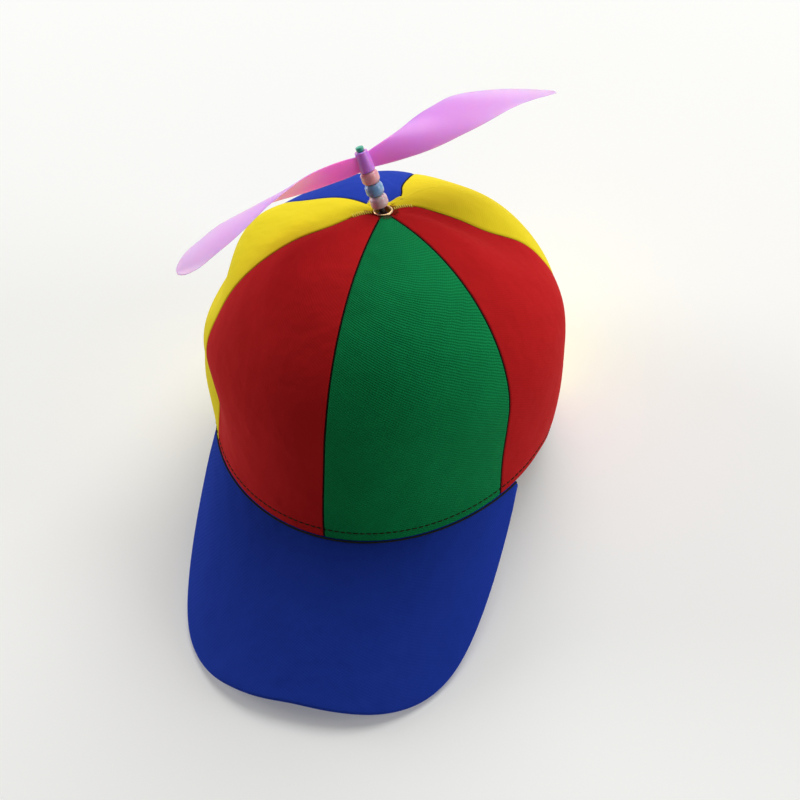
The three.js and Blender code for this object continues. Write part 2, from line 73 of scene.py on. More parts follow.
# turn, fall, spread in turn and in fall, and depth as a share of crown_half_width: above 0 a dent,
# below 0 a bulge
dents = np.array([
    [106, 0.16, 15, 0.09, 0.028],
    [106, 0.29, 17, 0.11, 0.05],
    [118, 0.44, 10, 0.07, -0.01],
    [103, 0.6, 10, 0.12, -0.016],
    [-58, 0.86, 13, 0.09, 0.045],
    [-78, 0.84, 12, 0.12, -0.02],
    [-63, 0.68, 13, 0.09, -0.015],
    [-84, 0.57, 14, 0.07, 0.055],
    [-102, 0.42, 18, 0.1, -0.045],
    [-172, 0.3, 20, 0.13, -0.015],
    [165, 0.36, 14, 0.1, 0.012],
    [-82, 0.9, 14, 0.09, -0.03],
    [98, 0.86, 20, 0.12, -0.013],
    [118, 0.58, 14, 0.12, -0.012],
])
# seam, fall, spread in fall, and drift in degrees: where a seam wanders out of its upright plane
seam_drifts = [
    (0, 1, 0.2, -2),
    (60, 0.88, 0.12, -2),
    (120, 0.03, 0.06, 20),
    (120, 0.28, 0.13, -5.5),
    (120, 0.5, 0.12, -4.5),
    (180, 0.07, 0.045, -12),
    (180, 0.42, 0.16, 4),
    (240, 0.25, 0.12, 8.5),
    (240, 0.4, 0.1, 4),
    (300, 0.035, 0.04, -12),
    (300, 0.13, 0.06, 3),
    (300, 0.5, 0.2, -2),
]


def smoothstep(low, high, value):
    """0 below low, 1 above high, and 3 t squared - 2 t cubed between, t being the share of the way."""
    share = np.clip((value - low) / (high - low), 0, 1)
    return share * share * (3 - 2 * share)


def wrapped(turn):
    """The same turn between -pi and pi."""
    return (turn + np.pi) % (2 * np.pi) - np.pi


def crown_reach(turn):
    """Plan radius at the widest level: an ellipse whose half depth is larger behind than in front."""
    depth = np.where(np.cos(turn) > 0, crown_front, crown_back)
    return 1 / np.hypot(np.sin(turn) / crown_half_width, np.cos(turn) / depth)


def crown_fullness(turn):
    """Exponent of the crown's superellipse, fuller towards the front."""
    return side_fullness + (front_fullness - side_fullness) * np.maximum(0, np.cos(turn)) ** 2


def rim_height(turn, radius):
    """Height of the rim: a cosine-squared dip in front, and the level ground behind."""
    dip = -front_drop * np.maximum(0, np.cos(turn)) ** 2
    ground = -(back_rim + radius * np.cos(turn)) * math.tan(cap_lean)
    laid = smoothstep(math.radians(80), math.radians(135), np.abs(wrapped(turn)))
    return dip + (ground - dip) * laid


def taut_point(turn, fall):
    """The crown before the cloth puffs: turn goes round it from the front towards +X, fall from 0 at
    the top to 1 at the rim. Above the widest level, plan radius is reach times a power of the sine
    of the swing, and height a power of its cosine. Below it, a nearly upright skirt tucks in."""
    reach = crown_reach(turn)
    swing = np.minimum(fall / widest_fall, 1) * np.pi / 2
    skirt = np.maximum(0, (fall - widest_fall) / (1 - widest_fall))
    radius = reach * np.sin(swing) ** (2 / crown_fullness(turn)) - rim_tuck * skirt ** 2
    dome = (crown_height - widest_height) * np.maximum(0, np.cos(swing)) ** (2 / top_fullness)
    drop = (widest_height - rim_height(turn, reach - rim_tuck)) * skirt
    return np.stack([
        radius * np.sin(turn),
        -radius * np.cos(turn) + peak_back * (1 - fall ** 2),
        widest_height + dome - drop,
    ], axis=-1)


def taut_normal(turn, fall):
    """Unit vector out of the crown: the slope down crossed with the slope across."""
    step = 1e-3
    across = taut_point(turn + step, fall) - taut_point(turn - step, fall)
    below, above = np.minimum(fall + step, 1), np.maximum(fall - step, step)
    down = taut_point(turn, below) - taut_point(turn, above)
    normal = np.cross(down, across)
    return normal / np.linalg.norm(normal, axis=-1, keepdims=True)


def seam_turn(seam, fall):
    """The turn of a seam at a fall: its upright plane plus bell-shaped drifts."""
    turn = math.radians(seam) + 0 * fall
    for own, at, spread, drift in seam_drifts:
        if own == seam % 360:
            turn = turn + math.radians(drift) * np.exp(-((fall - at) / spread) ** 2)
    return turn


def cloth_lift(turn, fall, share):
    """How far the cloth stands off the taut crown: a half sine across each panel, share being the
    part of the way across it, less bell-shaped dents that die out at the rim."""
    puff = panel_puff * np.sin(np.pi * share) * np.maximum(0, np.sin(np.pi * fall ** 0.9)) ** 0.8
    rows = dents.reshape((-1,) + (1,) * turn.ndim + (5,))
    at, level, spread, fall_spread, depth = np.moveaxis(rows, -1, 0)
    aside = wrapped(turn - np.radians(at)) / np.radians(spread)
    bells = depth * np.exp(-aside ** 2 - ((fall - level) / fall_spread) ** 2)
    return puff - crown_half_width * (1 - smoothstep(hem_taut, 1, fall)) * bells.sum(axis=0)


def rolled(distance, radius):
    """Depth of a rolled edge: a quarter circle, radius deep at the edge and level from radius on."""
    inward = np.clip(1 - distance / radius, 0, 1)
    return radius * (1 - np.sqrt(1 - inward ** 2))


def hem_distance(turn, fall):
    """Millimetres up from the crown's lower edge, measured from the arch's circle behind."""
    height = (1 - fall) / (1 - widest_fall) * widest_height
    aside = arch_half_width * (np.pi - np.abs(wrapped(turn))) / arch_half_turn
    from_arch = np.hypot(aside, height * arch_half_width / arch_height) - arch_half_width
    return np.maximum(np.minimum(height, from_arch), 0)


def cloth_point(turn, fall, share, depth=0):
    """A point of the outer cloth, depth below it: the taut crown plus lift, less the seam's valley
    and the groove that the hem stitches pull in."""
    plan = taut_point(turn, fall)
    radius = np.hypot(plan[..., 0], plan[..., 1] - peak_back * (1 - fall ** 2))
    from_seam = np.minimum(share, 1 - share) * panel_span * radius
    hem = hem_distance(turn, fall)
    groove = hem_groove * np.exp(-((hem - hem_stitch_height) / hem_groove_spread) ** 2)
    lift = cloth_lift(turn, fall, share) - rolled(from_seam, seam_roll) - groove
    return plan + taut_normal(turn, fall) * (lift - depth)[..., None]


def resting(points):
    """Millimetres upright to metres at rest: tipped about the back of the rim, then shifted."""
    x, y, z = np.moveaxis(np.asarray(points, float), -1, 0)
    along = back_rim + (y - back_rim) * math.cos(cap_lean) + z * math.sin(cap_lean)
    up = -(y - back_rim) * math.sin(cap_lean) + z * math.cos(cap_lean)
    return np.stack([x + cap_shift[0], along + cap_shift[1], up], axis=-1) / 1000


def grid_faces(rows, columns, first=0, around=False):
    """Quads of a grid stored row by row, facing the side from which rows run down and columns
    right. Where it runs around, the last column joins the first."""
    row, column = np.mgrid[0:rows - 1, 0:columns if around else columns - 1]
    after = (column + 1) % columns
    return first + np.stack([row * columns + column, (row + 1) * columns + column,
                             (row + 1) * columns + after, row * columns + after],
                            axis=-1).reshape(-1, 4)


def wall_faces(rows, columns):
    """Quads of a closed wall: an outer grid, an inner one turned round, and the strip that joins
    their borders."""
    count = rows * columns
    number = np.arange(count).reshape(rows, columns)
    border = np.concatenate([number[:-1, 0], number[-1, :-1], number[:0:-1, -1], number[0, :0:-1]])
    after = np.roll(border, -1)
    strip = np.stack([after, border, border + count, after + count], axis=-1)
    outer = grid_faces(rows, columns)
    return np.concatenate([outer, outer[:, ::-1] + count, strip])


def add_piece(name, points, faces, material, body="cap", uv=None):
    """A smooth mesh object from points in metres at rest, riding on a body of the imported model."""
    mesh = bpy.data.meshes.new(name)
    mesh.from_pydata(points.reshape(-1, 3).tolist(), [], [list(face) for face in faces])
    if uv is not None:
        corners = np.empty(len(mesh.loops), dtype=np.int32)
        mesh.loops.foreach_get("vertex_index", corners)
        mesh.uv_layers.new(name="cloth").data.foreach_set("uv", uv.reshape(-1, 2)[corners].ravel())
    mesh.polygons.foreach_set("use_smooth", np.ones(len(mesh.polygons), dtype=bool))
    mesh.materials.append(material)
    piece = bpy.data.objects.new(name, mesh)
    bpy.context.collection.objects.link(piece)
    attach(piece, body)
    return piece


def linear(hex_colour):
    """An sRGB colour such as "1a2c72" as linear red, green, blue and 1."""
    srgb = np.array([int(hex_colour[place:place + 2], 16) for place in (0, 2, 4)]) / 255
    return (*np.where(srgb <= 0.04045, srgb / 12.92, ((srgb + 0.055) / 1.055) ** 2.4).tolist(), 1)


def add_node(material, kind, inputs=None, **settings):
    """Adds a node with its settings. inputs gives each socket, by name or number, a value or the
    output of another node."""
    node = material.node_tree.nodes.new(kind)
    for name, value in settings.items():
        setattr(node, name, value)
    for name, value in (inputs or {}).items():
        if isinstance(value, bpy.types.NodeSocket):
            material.node_tree.links.new(value, node.inputs[name])
        else:
            node.inputs[name].default_value = value
    return node


def new_material(name):
    """An empty material and its output node."""
    material = bpy.data.materials.new(name)
    material.use_nodes = True
    material.node_tree.nodes.clear()
    return material, add_node(material, "ShaderNodeOutputMaterial")


twill_pitch = 1.1
twill_angle = math.radians(58)


def cotton_twill(name, light, dark, bloom, relief):
    """Piece-dyed cotton twill: matt, with a soft bloom from its fibres, and fine diagonal ribs. Real
    ribs are about 0.7 mm apart, finer than the picture shows, so they are drawn at twill_pitch.
    relief is how strongly they stand out. Reads the piece's own map, in millimetres of cloth."""
    material, output = new_material(name)
    cloth = add_node(material, "ShaderNodeUVMap", uv_map="cloth").outputs["UV"]
    wander = add_node(material, "ShaderNodeTexNoise", {"Vector": cloth, "Scale": 0.12, "Detail": 2.0})
    phase = 2 * math.pi / twill_pitch
    along = add_node(material, "ShaderNodeVectorMath", {
        0: cloth, 1: (phase * math.cos(twill_angle), phase * math.sin(twill_angle), 0)},
        operation="DOT_PRODUCT")
    bent = add_node(material, "ShaderNodeMath", {
        0: wander.outputs["Fac"], 1: 9.0, 2: along.outputs["Value"]}, operation="MULTIPLY_ADD")
    ribs = add_node(material, "ShaderNodeMath", {0: bent.outputs[0]}, operation="SINE")
    across = add_node(material, "ShaderNodeVectorMath", {
        0: cloth, 1: (phase * 0.8, -phase * 0.35, 0)}, operation="DOT_PRODUCT")
    picks = add_node(material, "ShaderNodeMath", {0: across.outputs["Value"]}, operation="SINE")
    weave = add_node(material, "ShaderNodeMath", {
        0: picks.outputs[0], 1: 0.35, 2: ribs.outputs[0]}, operation="MULTIPLY_ADD")
    fuzz = add_node(material, "ShaderNodeTexNoise", {"Vector": cloth, "Scale": 1.3, "Detail": 3.0})
    mottle = add_node(material, "ShaderNodeTexNoise", {"Vector": cloth, "Scale": 0.035, "Detail": 2.0})
    slub_cloth = add_node(material, "ShaderNodeMapping", {
        "Vector": cloth, "Scale": (0.25, 1.4, 1)})
    slub = add_node(material, "ShaderNodeTexNoise", {
        "Vector": slub_cloth.outputs[0], "Scale": 0.5, "Detail": 1.0})
    slubs = add_node(material, "ShaderNodeMapRange", {
        "Value": slub.outputs["Fac"], "From Min": 0.7, "From Max": 0.85})
    level = add_node(material, "ShaderNodeMapRange", {
        "Value": weave.outputs[0], "From Min": -1.35, "From Max": 1.35, "To Min": 0.2, "To Max": 0.65})
    level = add_node(material, "ShaderNodeMath", {
        0: fuzz.outputs["Fac"], 1: 0.3, 2: level.outputs[0]}, operation="MULTIPLY_ADD")
    level = add_node(material, "ShaderNodeMath", {
        0: mottle.outputs["Fac"], 1: 0.4, 2: level.outputs[0]}, operation="MULTIPLY_ADD")
    level = add_node(material, "ShaderNodeMath", {
        0: slubs.outputs[0], 1: -0.25, 2: level.outputs[0]}, operation="MULTIPLY_ADD")
    level = add_node(material, "ShaderNodeMath", {0: level.outputs[0], 1: 0.2}, operation="SUBTRACT",
                     use_clamp=True)
    colour = add_node(material, "ShaderNodeMix", {
        0: level.outputs[0], 6: linear(dark), 7: linear(light)}, data_type="RGBA")
    crease = add_node(material, "ShaderNodeTexNoise", {"Vector": cloth, "Scale": 0.06, "Detail": 2.0})
    folds = add_node(material, "ShaderNodeBump", {
        "Height": crease.outputs["Fac"], "Strength": 0.3, "Distance": 0.004})
    bump = add_node(material, "ShaderNodeBump", {
        "Height": weave.outputs[0], "Strength": relief, "Distance": 0.0002, "Normal": folds.outputs[0]})
    shader = add_node(material, "ShaderNodeBsdfPrincipled", {
        "Base Color": colour.outputs[2], "Roughness": 0.9, "Specular IOR Level": 0.08,
        "Sheen Weight": 0.15, "Sheen Roughness": 0.35, "Sheen Tint": linear(bloom),
        "Normal": bump.outputs[0]})
    material.node_tree.links.new(shader.outputs[0], output.inputs[0])
    return material


twill_green = cotton_twill("green_cotton_twill", "0a8c4e", "02602e", "30b070", 0.4)
twill_red = cotton_twill("red_cotton_twill", "bc1a1c", "ae1719", "e84040", 0.06)
twill_yellow = cotton_twill("yellow_cotton_twill", "ead624", "dcc81e", "ffe860", 0.12)
twill_blue = cotton_twill("blue_cotton_twill", "2240ac", "1a3294", "3a60dc", 0.15)


def crowded(first, last, count):
    """Steps from first to last, close together at both ends: half a cosine wave."""
    return first + (last - first) * (0.5 - 0.5 * np.cos(np.pi * np.arange(count + 1) / count))


def panel_shares(start):
    """Places of the columns across a panel, close together at seams and at the arch's corners."""
    arch = arch_half_turn / panel_span
    behind = np.concatenate([crowded(0, arch, 40)[:-1], crowded(arch, 1, 56)])
    return {180: behind, 120: 1 - behind[::-1]}.get(start, crowded(0, 1, 84))


def lowest_fall(turn):
    """Where the cloth ends: 1 at the rim, less where the arch's circle cuts it off behind."""
    aside = np.minimum((np.pi - np.abs(wrapped(turn))) / arch_half_turn, 1)
    return 1 - (1 - widest_fall) * arch_height * np.sqrt(1 - aside ** 2) / widest_height


def highest_fall(turn, radius):
    """The fall at which the cloth is a radius away from the peak: the dome's formula turned round."""
    swing = np.arcsin((radius / crown_reach(turn)) ** (crown_fullness(turn) / 2))
    return widest_fall * swing / (np.pi / 2)


def add_panel(name, start, material):
    """A panel as a closed wall from the eyelet's hole to the hem, where both faces roll together."""
    share = panel_shares(start)[None, :]
    edge = 0.06 * np.sin(np.linspace(0, np.pi / 2, 30))
    down = np.concatenate([np.linspace(0, 0.94, 96)[:-1], 0.94 + edge])
    upright = math.radians(start) + panel_span * share
    top = highest_fall(upright, hole_radius)
    fall = top + (lowest_fall(upright) - top) * down[:, None]
    place = taut_point(upright, fall)
    radius = np.hypot(place[..., 0], place[..., 1] - peak_back * (1 - fall ** 2))
    room = seam_room / radius
    first = seam_turn(start, fall) + room
    last = seam_turn(start + 60, fall) - room
    turn = first + (last - first) * share
    share = share + 0 * fall
    roll = rolled(hem_distance(turn, fall), hem_roll)
    inside = cloth_lift(turn, fall, share) - cloth_wall + roll
    faces = [cloth_point(turn, fall, share, roll),
             taut_point(turn, fall) + taut_normal(turn, fall) * inside[..., None]]
    across = (share - 0.5) * panel_span * radius
    length = np.linalg.norm(np.diff(faces[0], axis=0), axis=-1)
    up = np.concatenate([np.cumsum(length[::-1], axis=0)[::-1], 0 * length[:1]])
    uv = np.stack([across, up], axis=-1)
    piece = add_piece(name, resting(np.stack(faces)), wall_faces(*fall.shape), material,
                      uv=np.stack([uv, uv]))
    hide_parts(name.replace("twill_", ""))
    return piece


for node, start, material, slot in [
        ("panel_front_right", 0, twill_green, "twill_green"),
        ("panel_side_right", 60, twill_red, "twill_red"),
        ("panel_back_right", 120, twill_yellow, "twill_yellow"),
        ("panel_back_left", 180, twill_blue, "twill_blue"),
        ("panel_side_left", 240, twill_yellow, "twill_yellow"),
        ("panel_front_left", 300, twill_red, "twill_red")]:
    add_panel("twill_" + node, start, material)

# Brim: a stiff curved board covered in the same twill as the blue back panel, which is turned round
# its rounded edge. It is sewn on under the front of the crown.
brim_half_width = 79.5
brim_length = 61.5
brim_slope = math.tan(math.radians(39))
brim_half_angle = math.radians(67)
brim_wall = 3
brim_tip_width = 2
brim_side_curve = 0.64
brim_front_curve = 0.69
# side, spread and share of brim_length: where the free edge is bent out (or in) of its even curve
brim_bends = [
    (-0.62, 0.17, 0.03),
    (-0.02, 0.12, 0.025),
    (0.3, 0.14, -0.01),
    (0.68, 0.17, 0.035),
]
seat_gap = 0.3


def brim_roof(x, y):
    """Height of the brim's upper side: a plane that slopes down forwards, less a parabola across."""
    front = taut_point(np.array(0.0), np.array(1.0))
    end = taut_point(np.array(brim_half_angle), np.array(1.0))
    sag = (front[2] - brim_slope * (front[1] - end[1]) - end[2]) * (brim_half_width / end[0]) ** 2
    return front[2] - brim_slope * (front[1] - y) - sag * (x / brim_half_width) ** 2


def rim_point(turn, inset):
    """The crown's lower edge, or a point inset from it that rises with the brim's slope."""
    outer = taut_point(turn, np.ones_like(turn))
    radius = crown_reach(turn) - rim_tuck - inset
    x, y = radius * np.sin(turn), -radius * np.cos(turn)
    rise = brim_roof(x, y) - brim_roof(outer[..., 0], outer[..., 1])
    return np.stack([x, y, rim_height(turn, radius) + rise], axis=-1)


def brim_point(side, out):
    """The brim's upper side: side runs from -1 to 1 between its ends, out from 0 at the crown to 1
    at the free edge, a superellipse in plan that brim_bends push out or in in bell shapes."""
    turn = side * brim_half_angle
    root = rim_point(turn, 0)
    end = rim_point(np.array(brim_half_angle), 0)
    swing = side * np.pi / 2
    tip = brim_tip_width * side ** 6
    reach = brim_length + end[1] + crown_front - rim_tuck
    x = np.sign(swing) * brim_half_width * np.abs(np.sin(swing)) ** brim_side_curve
    bend = sum(share * brim_length * np.exp(-((side - at) / spread) ** 2)
               for at, spread, share in brim_bends)
    y = end[1] - reach * np.maximum(0, np.cos(swing)) ** brim_front_curve - bend
    edge = np.stack([x + tip * np.sin(turn), y - tip * np.cos(turn)], axis=-1)
    plan = root[..., :2] + (edge - root[..., :2]) * out[..., None]
    settle = (root[..., 2] - brim_roof(root[..., 0], root[..., 1])) * (1 - out)
    height = brim_roof(plan[..., 0], plan[..., 1]) + settle - seat_gap
    return np.concatenate([plan, height[..., None]], axis=-1)


def brim_slopes(side, out):
    """Unit vectors on the brim: outwards along it, and up out of it."""
    step = 2e-3
    left, right = np.maximum(side - step, -1), np.minimum(side + step, 1)
    near, far = np.maximum(out - step, 0), np.minimum(out + step, 1)
    outward = brim_point(side, far) - brim_point(side, near)
    normal = np.cross(outward, brim_point(right, out) - brim_point(left, out))
    return (outward / np.linalg.norm(outward, axis=-1, keepdims=True),
            normal / np.linalg.norm(normal, axis=-1, keepdims=True))


def add_brim():
    """The brim as rings round its section: along the top, round the edge as a half circle, back
    along the underside and up inside the crown."""
    columns = 160
    even = np.linspace(-1, 1, columns + 1)
    side = np.sign(even) * np.abs(even) ** (1 / brim_side_curve)
    across = brim_point(side, np.ones_like(side)) - brim_point(side, np.zeros_like(side))
    width = np.linalg.norm(across, axis=-1)
    edge_out = 1 - np.minimum(brim_wall / 2 / width, 0.7)
    share = np.linspace(0, 1, 48)
    grid_side = side[None, :] + 0 * share[:, None]
    grid_out = share[:, None] * edge_out[None, :]
    upper = brim_point(grid_side, grid_out)
    _, up = brim_slopes(grid_side, grid_out)
    outward = brim_slopes(side, edge_out)[0][None]
    centre = (upper[-1] - up[-1] * brim_wall / 2)[None]
    angle = np.linspace(0, np.pi, 13)[1:-1, None, None]
    edge = centre + brim_wall / 2 * (np.cos(angle) * up[-1][None] + np.sin(angle) * outward)
    lower = (upper - up * brim_wall)[::-1]
    tucked = rim_point(side * brim_half_angle, cloth_wall) - [0, 0, seat_gap]
    ring = np.concatenate([tucked[None], upper, edge, lower, (tucked - up[0] * brim_wall)[None]])
    rows, count = ring.shape[0], ring.shape[1]
    faces = grid_faces(rows, count).tolist()
    number = np.arange(rows * count).reshape(rows, count)
    closing = np.stack([number[-1, :-1], number[0, :-1], number[0, 1:], number[-1, 1:]], axis=-1)
    faces += closing.tolist()
    faces += [number[::-1, 0].tolist(), number[:, -1].tolist()]
    length = np.linalg.norm(np.diff(ring, axis=0), axis=-1)
    out = np.concatenate([0 * length[:1], np.cumsum(length, axis=0)])
    uv = np.stack([out, ring[..., 0]], axis=-1)
    piece = add_piece("covered_brim", resting(ring), faces, twill_blue, uv=uv)
    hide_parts("brim")


add_brim()

# Strap behind: a plain band of the same twill that crosses the arch inside the rim and laps
# inside both back panels. It stands for the closure that takes up the cap's size.
strap_height = 20
strap_rise = 2.5
strap_lap = 11
strap_wall = 1.6


def add_strap():
    """The crown's own surface, inset by the cloth wall, between two heights above the rim."""
    half = arch_half_turn + strap_lap / back_rim
    turn = math.pi + half * np.linspace(-1, 1, 97)[None, :]
    height = strap_rise + strap_height * crowded(0, 1, 26)[::-1, None]
    fall = 1 - (1 - widest_fall) * height / widest_height + 0 * turn
    turn = turn + 0 * fall
    share = (turn / panel_span) % 1
    edge = np.minimum(np.minimum(height - strap_rise, strap_rise + strap_height - height),
                      (half - np.abs(turn - math.pi)) * back_rim)
    roll = rolled(edge, strap_wall / 2)
    base = taut_point(turn, fall)
    normal = taut_normal(turn, fall)
    depth = cloth_wall + seat_gap - cloth_lift(turn, fall, share)
    faces = [base - normal * (depth + inset)[..., None] for inset in (roll, strap_wall - roll)]
    uv = np.stack([(turn - math.pi) * back_rim, height + 0 * turn], axis=-1)
    piece = add_piece("twill_strap", resting(np.stack(faces)), wall_faces(*fall.shape), twill_blue,
                      uv=np.stack([uv, uv]))
    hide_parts("back_strap")


add_strap()

# Hem stitching: one row of lock stitches in dark thread holds the turned-under edge, a little above
# the join with the brim and round the arch. A thicker dark thread sews the brim on. Laid in the fold
# at the join, it also stands in for the shade there: painted shade.
stitch_pitch = 3.2
stitch_points = 10
stitch_rise = 0.12
stitch_dip = 0.5
thread_radius = 0.3
join_thread_and_shade_radius = 0.42
join_thread_and_shade_outset = 0.35
join_thread_and_shade_drop = 0.15


def tube(path, radius, sides, normals):
    """Points of a tube along a path: rings of the radius across its direction."""
    ahead = np.gradient(path, axis=0)
    ahead /= np.linalg.norm(ahead, axis=-1, keepdims=True)
    beside = np.cross(ahead, normals)
    beside /= np.linalg.norm(beside, axis=-1, keepdims=True)
    upward = np.cross(beside, ahead)
    angle = np.linspace(0, 2 * np.pi, sides, endpoint=False)[None, :, None]
    radius = np.broadcast_to(radius, len(path))[:, None, None]
    return path[:, None] + radius * (np.cos(angle) * beside[:, None] + np.sin(angle) * upward[:, None])


def capped(rings, sides, first=0):
    """Faces of a tube with flat ends, for rings of points stored one after another."""
    number = first + np.arange(rings * sides).reshape(rings, sides)
    walls = grid_faces(rings, sides, first, around=True)
    return walls.tolist() + [number[0].tolist(), number[-1, ::-1].tolist()]


def crown_share(turn, fall):
    """The part of the way across its panel at which a turn lies."""
    seams = np.stack([seam_turn(seam, fall) for seam in range(-180, 181, 60)])
    panel = np.clip((turn[None] >= seams).sum(axis=0) - 1, 0, 5)
    near = np.take_along_axis(seams, panel[None], axis=0)[0]
    far = np.take_along_axis(seams, panel[None] + 1, axis=0)[0]
    return (turn - near) / (far - near)


def add_hem_stitching():
    """A thread along the line hem_stitch_height above the lower edge: up the arch's circle on both
    sides and round the rim, dipping into the cloth between stitches."""
    ring = arch_half_width + hem_stitch_height
    rise = np.linspace(np.pi / 2, math.asin(hem_stitch_height / ring), 60)
    arch_turn = np.pi - ring * np.cos(rise) / arch_half_width * arch_half_turn
    arch_up = ring * np.sin(rise) * arch_height / arch_half_width
    rim_turn = np.linspace(arch_turn[-1], 0, 400)[1:]
    turn = np.concatenate([arch_turn, rim_turn])
    up = np.concatenate([arch_up, np.full(len(rim_turn), float(hem_stitch_height))])
    turn = np.concatenate([turn, -turn[-2:0:-1]])
    up = np.concatenate([up, up[-2:0:-1]])
    fall = 1 - (1 - widest_fall) * up / widest_height
    line = cloth_point(turn, fall, crown_share(turn, fall))
    length = np.concatenate([[0], np.cumsum(np.linalg.norm(np.diff(line, axis=0), axis=-1))])
    stitches = round(length[-1] / stitch_pitch)
    at = np.linspace(0, length[-1], stitches * stitch_points + 1)
    turn, fall = np.interp(at, length, turn), np.interp(at, length, fall)
    wave = np.cos(2 * np.pi * np.arange(len(at)) / stitch_points)
    over = np.where(wave > -0.4, stitch_rise, -stitch_dip) + 0.1 * wave
    normal = taut_normal(turn, fall)
    path = cloth_point(turn, fall, crown_share(turn, fall), -over)
    points = tube(path, thread_radius, 6, normal)
    piece = add_piece("hem_stitching", resting(points), capped(len(at), 6), dark_thread)


def add_join_thread_and_shade():
    """The thread that sews the brim on, in the fold where the crown's edge meets the brim. Thick
    and dark, it is also painted shade of that fold.
    """
    turn = np.linspace(-brim_half_angle, brim_half_angle, 300)
    path = rim_point(turn, -join_thread_and_shade_outset) - [0, 0, join_thread_and_shade_drop]
    points = tube(path, join_thread_and_shade_radius, 8, np.broadcast_to([0, 0, 1.0], path.shape))
    # painted shade: the dark tube also darkens the fold at the brim join
    add_piece("brim_join_thread_and_shade", resting(points), capped(len(turn), 8), dark_thread)


def spun_thread(name, colour):
    """Spun polyester thread: a soft dull shine over a fine twist, drawn as dark and light bands."""
    material, output = new_material(name)
    place = add_node(material, "ShaderNodeTexCoord").outputs["Object"]
    twist = add_node(material, "ShaderNodeTexNoise", {"Vector": place, "Scale": 1500.0, "Detail": 1.0})
    base = linear(colour)
    mixed = add_node(material, "ShaderNodeMix", {
        0: twist.outputs["Fac"], 6: tuple(0.75 * part for part in base[:3]) + (1,),
        7: tuple(min(1.25 * part, 1) for part in base[:3]) + (1,)}, data_type="RGBA")
    shader = add_node(material, "ShaderNodeBsdfPrincipled", {
        "Base Color": mixed.outputs[2], "Roughness": 0.85, "Specular IOR Level": 0.1})
    material.node_tree.links.new(shader.outputs[0], output.inputs[0])
    return material


dark_thread = spun_thread("dark_polyester_thread", "2c2c1c")
add_hem_stitching()
add_join_thread_and_shade()

# Seam threads: the lock stitches that close the six seams, pulled into the valleys between the
# panels. Near black, they also stand in for the shade in the valleys: painted shade. They lie
# deeper and finer where yellow meets red. Depth and radius for each seam:
seam_threads_and_shade = {0: (0.6, 0.55), 60: (0.6, 0.55), 120: (0.75, 0.38), 180: (0.65, 0.45),
                240: (0.65, 0.45), 300: (0.75, 0.38)}


def add_seam_threads_and_shade():
    """One near-black thread in each valley, from the eyelet's hole to the hem: thread and painted shade."""
    points, faces = [], []
    for seam, (depth, radius) in seam_threads_and_shade.items():
        end = lowest_fall(np.array(math.radians(seam)))
        fall = 0.025 + (end - 0.03) * np.linspace(0, 1, 260)
        turn = seam_turn(seam, fall)
        normal = taut_normal(turn, fall)
        lift = cloth_lift(turn, fall, 0 * turn) - depth
        path = taut_point(turn, fall) + normal * lift[:, None]
        faces += capped(len(path), 8, sum(len(part) for part in points))
        points.append(tube(path, radius, 8, normal).reshape(-1, 3))
    add_piece("seam_threads_and_shade", resting(np.concatenate(points)), faces, seam_thread_and_shade)


# near black: the thread's own colour and painted shade of the seam valleys
seam_thread_and_shade = spun_thread("brown_thread_and_seam_shade", "1c0e08")
add_seam_threads_and_shade()

# Seam ends: behind the eyelet the blue panel stops short, and the turned-over end of the yellow
# cloth laps over it in small ruffles. Yellow thread tacks hold the yellow seams there, and frayed
# yarns stand out round the eyelet.
fold_turns = (158, 262)
fold_reaches = (17.5, 10.5)
fold_start = 4.4
fold_lift = 0.45
ruffle_depth = 0.3
ruffle_count = 29
tack_pitch = 1.1
tack_count = 9
tack_radius = 0.3
yarn_radius = 0.11
# colour of the yarns, the turns between which they stand out, how many, and their distance from
# the peak
frayed_yarns = [
    ("red_brown_yarns", "a03418", 78, 178, 60, 4.6, 6.6),
    ("red_yarns", "a82818", 282, 312, 30, 4.8, 7.6),
    ("grey_green_yarns", "5a5a40", -2, 62, 30, 4.8, 6.2),
    ("yellow_yarns", "ecdc50", 158, 205, 26, 9, 14.5)]


def add_folded_ends():
    """A low wall of yellow cloth on the crown, waved across, with its outer edge ragged."""
    turn = np.radians(np.linspace(*fold_turns, 181))[None, :]
    out = np.linspace(0, 1, 28)[:, None]
    part = np.linspace(0, 1, 181)[None, :]
    ragged = 0.35 * np.sin(53 * part + 1) + 0.25 * np.sin(131 * part + 2)
    reach = fold_reaches[0] + (fold_reaches[1] - fold_reaches[0]) * part + ragged
    radius = fold_start + (reach - fold_start) * out
    turn = turn + 0 * radius
    fall = highest_fall(turn, radius)
    ends = smoothstep(0, 0.05, part) * smoothstep(0, 0.05, 1 - part)
    wave = np.cos(ruffle_count * (turn + 0.15 * out)) * out
    rise = (fold_lift + ruffle_depth * wave) * (1 - 0.6 * smoothstep(0.8, 1, out)) * ends
    base = cloth_lift(turn, fall, crown_share(turn, fall))
    normal = taut_normal(turn, fall)
    faces = [taut_point(turn, fall) + normal * (base + height)[..., None]
             for height in (rise, 0 * rise - 0.3)]
    uv = np.stack([radius * turn, radius], axis=-1)
    piece = add_piece("folded_yellow_ends", resting(np.stack(faces)), wall_faces(*radius.shape),
                      twill_yellow, uv=np.stack([uv, uv]))


def add_threads(name, turns, radii, lifts, radius, material):
    """Threads on the crown, one a row: where each point lies round the peak, how far out from it,
    and how high it stands off the cloth."""
    fall = highest_fall(turns, radii)
    normal = taut_normal(turns, fall)
    lift = cloth_lift(turns, fall, crown_share(turns, fall)) + lifts
    paths = taut_point(turns, fall) + normal * lift[..., None]
    tubes = [tube(path, radius, 5, upward) for path, upward in zip(paths, normal)]
    count = paths.shape[1]
    faces = [face for index in range(len(tubes)) for face in capped(count, 5, index * count * 5)]
    add_piece(name, resting(np.concatenate(tubes)), faces, material)


